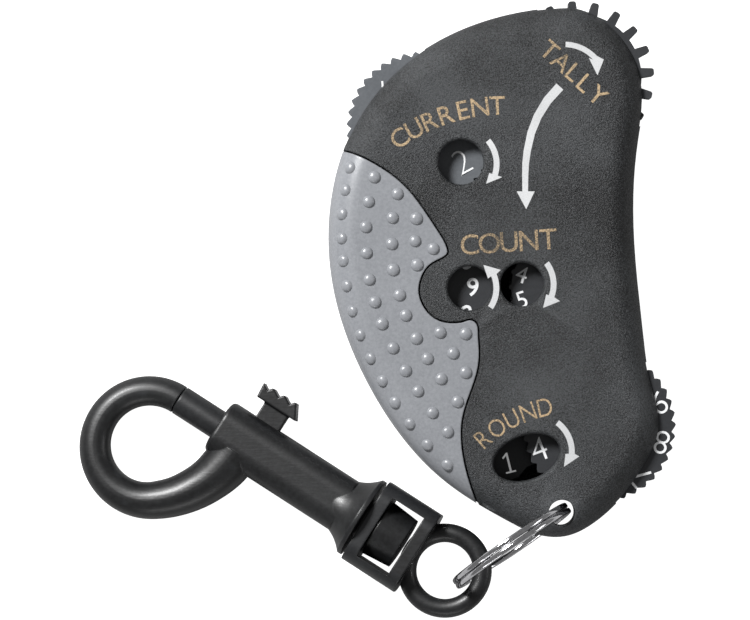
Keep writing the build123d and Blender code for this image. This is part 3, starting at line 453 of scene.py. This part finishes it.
grip = nodes["side_grip"]
grip_points = [v.co.copy() for v in grip.data.vertices]
grip_tree = BVHTree.FromPolygons(grip_points, [tuple(p.vertices) for p in grip.data.polygons])
dome_profile = [(1.02, -0.06), (0.92, 0.0), (0.87, 0.07), (0.81, 0.17), (0.72, 0.26), (0.57, 0.35), (0.38, 0.41),
                (0.19, 0.44)]
dome_parts = []
for x, y in bump_columns:
    hit, normal, _, _ = grip_tree.ray_cast(Vector((x, y, 30)) * MM, Vector((0, 0, -1)))
    if hit is None:
        continue
    if normal.z < 0:
        normal = -normal
    side = normal.cross(Vector((0, 1, 0))).normalized()
    up = side.cross(normal).normalized()
    swell = draw.uniform(0.96, 1.04)
    ring_count = 28
    vertices, faces = [], []
    for radius, rise in dome_profile:
        for k in range(ring_count):
            turn = 2 * math.pi * k / ring_count
            flat = hit + (side * math.cos(turn) + up * math.sin(turn)) * (radius * swell * MM)
            ground, _, _, _ = grip_tree.ray_cast(flat + normal * 2 * MM, -normal, 4 * MM)
            if ground is None or (ground - flat).length > 1.2 * MM:
                ground = flat
            vertices.append(tuple((ground + normal * rise * MM) / MM))
    vertices.append(tuple((hit + normal * 0.45 * MM) / MM))
    vertices.append(tuple((hit - normal * 0.3 * MM) / MM))
    for ring in range(len(dome_profile) - 1):
        for k in range(ring_count):
            j = (k + 1) % ring_count
            a, b = ring * ring_count, (ring + 1) * ring_count
            faces.append((a + k, a + j, b + j, b + k))
    last = (len(dome_profile) - 1) * ring_count
    for k in range(ring_count):
        j = (k + 1) % ring_count
        faces.append((last + k, last + j, len(vertices) - 2))
        faces.append((j, k, len(vertices) - 1))
    dome_parts.append((vertices, faces))
piece("grip_bumps", *merged(dome_parts), grip_rubber, "casing", "grip_rubber")

# ---------------------------------------------------------------- split ring: one flat wire wound twice
lanyard_hole = Vector((10.2, -34.65, 0.0))
ring_heading = math.radians(214.4)
ring_lean = math.radians(6.5)
out = Vector((math.cos(ring_heading), math.sin(ring_heading), 0))
level = Vector((out.y, -out.x, 0))
upright = Vector((0, 0, 1)) * math.cos(ring_lean) + level * math.sin(ring_lean)
across = level * math.cos(ring_lean) - Vector((0, 0, 1)) * math.sin(ring_lean)
ring_middle = Vector((lanyard_hole.x, lanyard_hole.y, 10.6)) + out * 8.54
wire_section = []
for k in range(16):
    turn = 2 * math.pi * k / 16
    cx, sx = math.cos(turn), math.sin(turn)
    wire_section.append((0.61 * math.copysign(abs(cx) ** 0.6, cx), 0.41 * math.copysign(abs(sx) ** 0.6, sx)))
vertices, faces = [], []
turns_steps = 300
start_turn, total_turn = math.radians(-28), math.radians(2 * 360 - 4)
for i in range(turns_steps + 1):
    share = i / turns_steps
    angle = start_turn + total_turn * share
    cross_over = (share * (2 * 360 - 4) - 300) / 116
    cross_over = min(1.0, max(0.0, cross_over))
    offset = -0.44 + 0.88 * (cross_over * cross_over * (3 - 2 * cross_over))
    radial = out * math.cos(angle) + upright * math.sin(angle)
    middle = ring_middle + radial * 9.275
    end_taper = 1.0 if 0 < i < turns_steps else 0.86
    for u, v in wire_section:
        vertices.append(tuple(middle + radial * u * end_taper + across * (offset + v * end_taper)))
count = len(wire_section)
for i in range(turns_steps):
    for k in range(count):
        j = (k + 1) % count
        faces.append((i * count + k, i * count + j, (i + 1) * count + j, (i + 1) * count + k))
faces.append(tuple(range(count)))
faces.append(tuple(reversed(range(turns_steps * count, (turns_steps + 1) * count))))
ring = piece("split_ring_wire", vertices, faces, ring_steel, "ring", "ring_steel")
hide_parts("split_ring")

# ---------------------------------------------------------------- gate spring, a fixed coil along the hook's axis
eye_centre = Vector((-6.39, -43.2, 7.8))
hook_heading, hook_droop = math.radians(147.5), math.radians(6.1)
hook_axis = Vector((math.cos(hook_heading) * math.cos(hook_droop), math.sin(hook_heading) * math.cos(hook_droop),
                    -math.sin(hook_droop)))
coil_side = hook_axis.cross(Vector((0, 0, 1))).normalized()
coil_up = coil_side.cross(hook_axis)
coil_radius, coil_wire, coil_turns = 1.75, 0.24, 9
coil_start, coil_end, gate_travel = 19.95, 29.65, 6.2
vertices, faces = [], []
coil_steps, coil_sides = coil_turns * 28, 10
for i in range(coil_steps + 1):
    share = i / coil_steps
    turn = 2 * math.pi * coil_turns * share
    radial = coil_side * math.cos(turn) + coil_up * math.sin(turn)
    middle = eye_centre + hook_axis * (coil_start + (coil_end - coil_start) * share) + radial * coil_radius
    for k in range(coil_sides):
        around = 2 * math.pi * k / coil_sides
        vertices.append(tuple(middle + (radial * math.cos(around) + hook_axis * math.sin(around)) * coil_wire))
for i in range(coil_steps):
    for k in range(coil_sides):
        j = (k + 1) % coil_sides
        faces.append((i * coil_sides + k, i * coil_sides + j, (i + 1) * coil_sides + j, (i + 1) * coil_sides + k))
faces.append(tuple(range(coil_sides)))
faces.append(tuple(reversed(range(coil_steps * coil_sides, (coil_steps + 1) * coil_sides))))
coil = piece("gate_coil", vertices, faces, spring_steel, "hook", "spring_steel")
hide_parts("gate_spring")
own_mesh(coil)

# ---------------------------------------------------------------- softened ridges of the thumb knob
knob = nodes["gate_thumb_knob"]
join = knob.modifiers.new("join", "WELD")
join.merge_threshold = 0.002 * MM
soften = knob.modifiers.new("soften", "BEVEL")
soften.width = 0.22 * MM
soften.segments = 3
soften.limit_method = "ANGLE"
soften.angle_limit = math.radians(35)

# ---------------------------------------------------------------- floor, light and camera
floor_mesh = bpy.data.meshes.new("floor")
floor_mesh.from_pydata([(-1.5, -1.5, 0), (1.5, -1.5, 0), (1.5, 1.5, 0), (-1.5, 1.5, 0)], [], [(0, 1, 2, 3)])
floor = bpy.data.objects.new("floor", floor_mesh)
floor.location = (0, 0, box_before[0].z - 0.0002)
bpy.context.scene.collection.objects.link(floor)
floor_paint = bpy.data.materials.new("floor_paint")
floor_paint.use_nodes = True
paint = floor_paint.node_tree.nodes["Principled BSDF"]
paint.inputs["Base Color"].default_value = (0.35, 0.35, 0.35, 1)
paint.inputs["Roughness"].default_value = 0.9
paint.inputs["Emission Color"].default_value = (1, 1, 1, 1)
seen = floor_paint.node_tree.nodes.new("ShaderNodeLightPath")
glow = floor_paint.node_tree.nodes.new("ShaderNodeMath")
glow.operation = "MULTIPLY_ADD"
glow.inputs[1].default_value = 1.0
glow.inputs[2].default_value = 0.05
floor_paint.node_tree.links.new(seen.outputs["Is Camera Ray"], glow.inputs[0])
floor_paint.node_tree.links.new(glow.outputs[0], paint.inputs["Emission Strength"])
floor_mesh.materials.append(floor_paint)

world = bpy.data.worlds.new("studio")
bpy.context.scene.world = world
world.use_nodes = True
world.node_tree.nodes["Background"].inputs["Color"].default_value = (1, 1, 1, 1)
world.node_tree.nodes["Background"].inputs["Strength"].default_value = 0.19


def softbox(name, location, target, size, power, size_y=None):
    lamp = bpy.data.lights.new(name, "AREA")
    lamp.shape = "RECTANGLE"
    lamp.size = size
    lamp.size_y = size_y or size
    lamp.energy = power
    o = bpy.data.objects.new(name, lamp)
    o.location = location
    o.rotation_mode = "QUATERNION"
    o.rotation_quaternion = (Vector(target) - Vector(location)).to_track_quat("-Z", "Y")
    bpy.context.scene.collection.objects.link(o)
    return o


middle = (-0.016, -0.006, 0.008)
softbox("key_light", (-0.30, 0.28, 0.40), middle, 0.14, 6.0)
softbox("fill_light", (0.42, 0.02, 0.22), middle, 0.24, 0.25, 0.10)
softbox("low_light", (-0.02, -0.45, 0.2), middle, 0.3, 0.35, 0.08)

camera_data = bpy.data.cameras.new("camera")
camera = bpy.data.objects.new("camera", camera_data)
camera.location = (-0.01643, -0.00571, 0.6)
camera.rotation_euler = (0, 0, 0)
camera_data.sensor_width = 36
camera_data.lens = 36 * (0.6 - 0.012) / 0.1071429
camera_data.clip_start = 0.01
bpy.context.scene.collection.objects.link(camera)
bpy.context.scene.camera = camera
bpy.context.scene.view_settings.view_transform = "Standard"
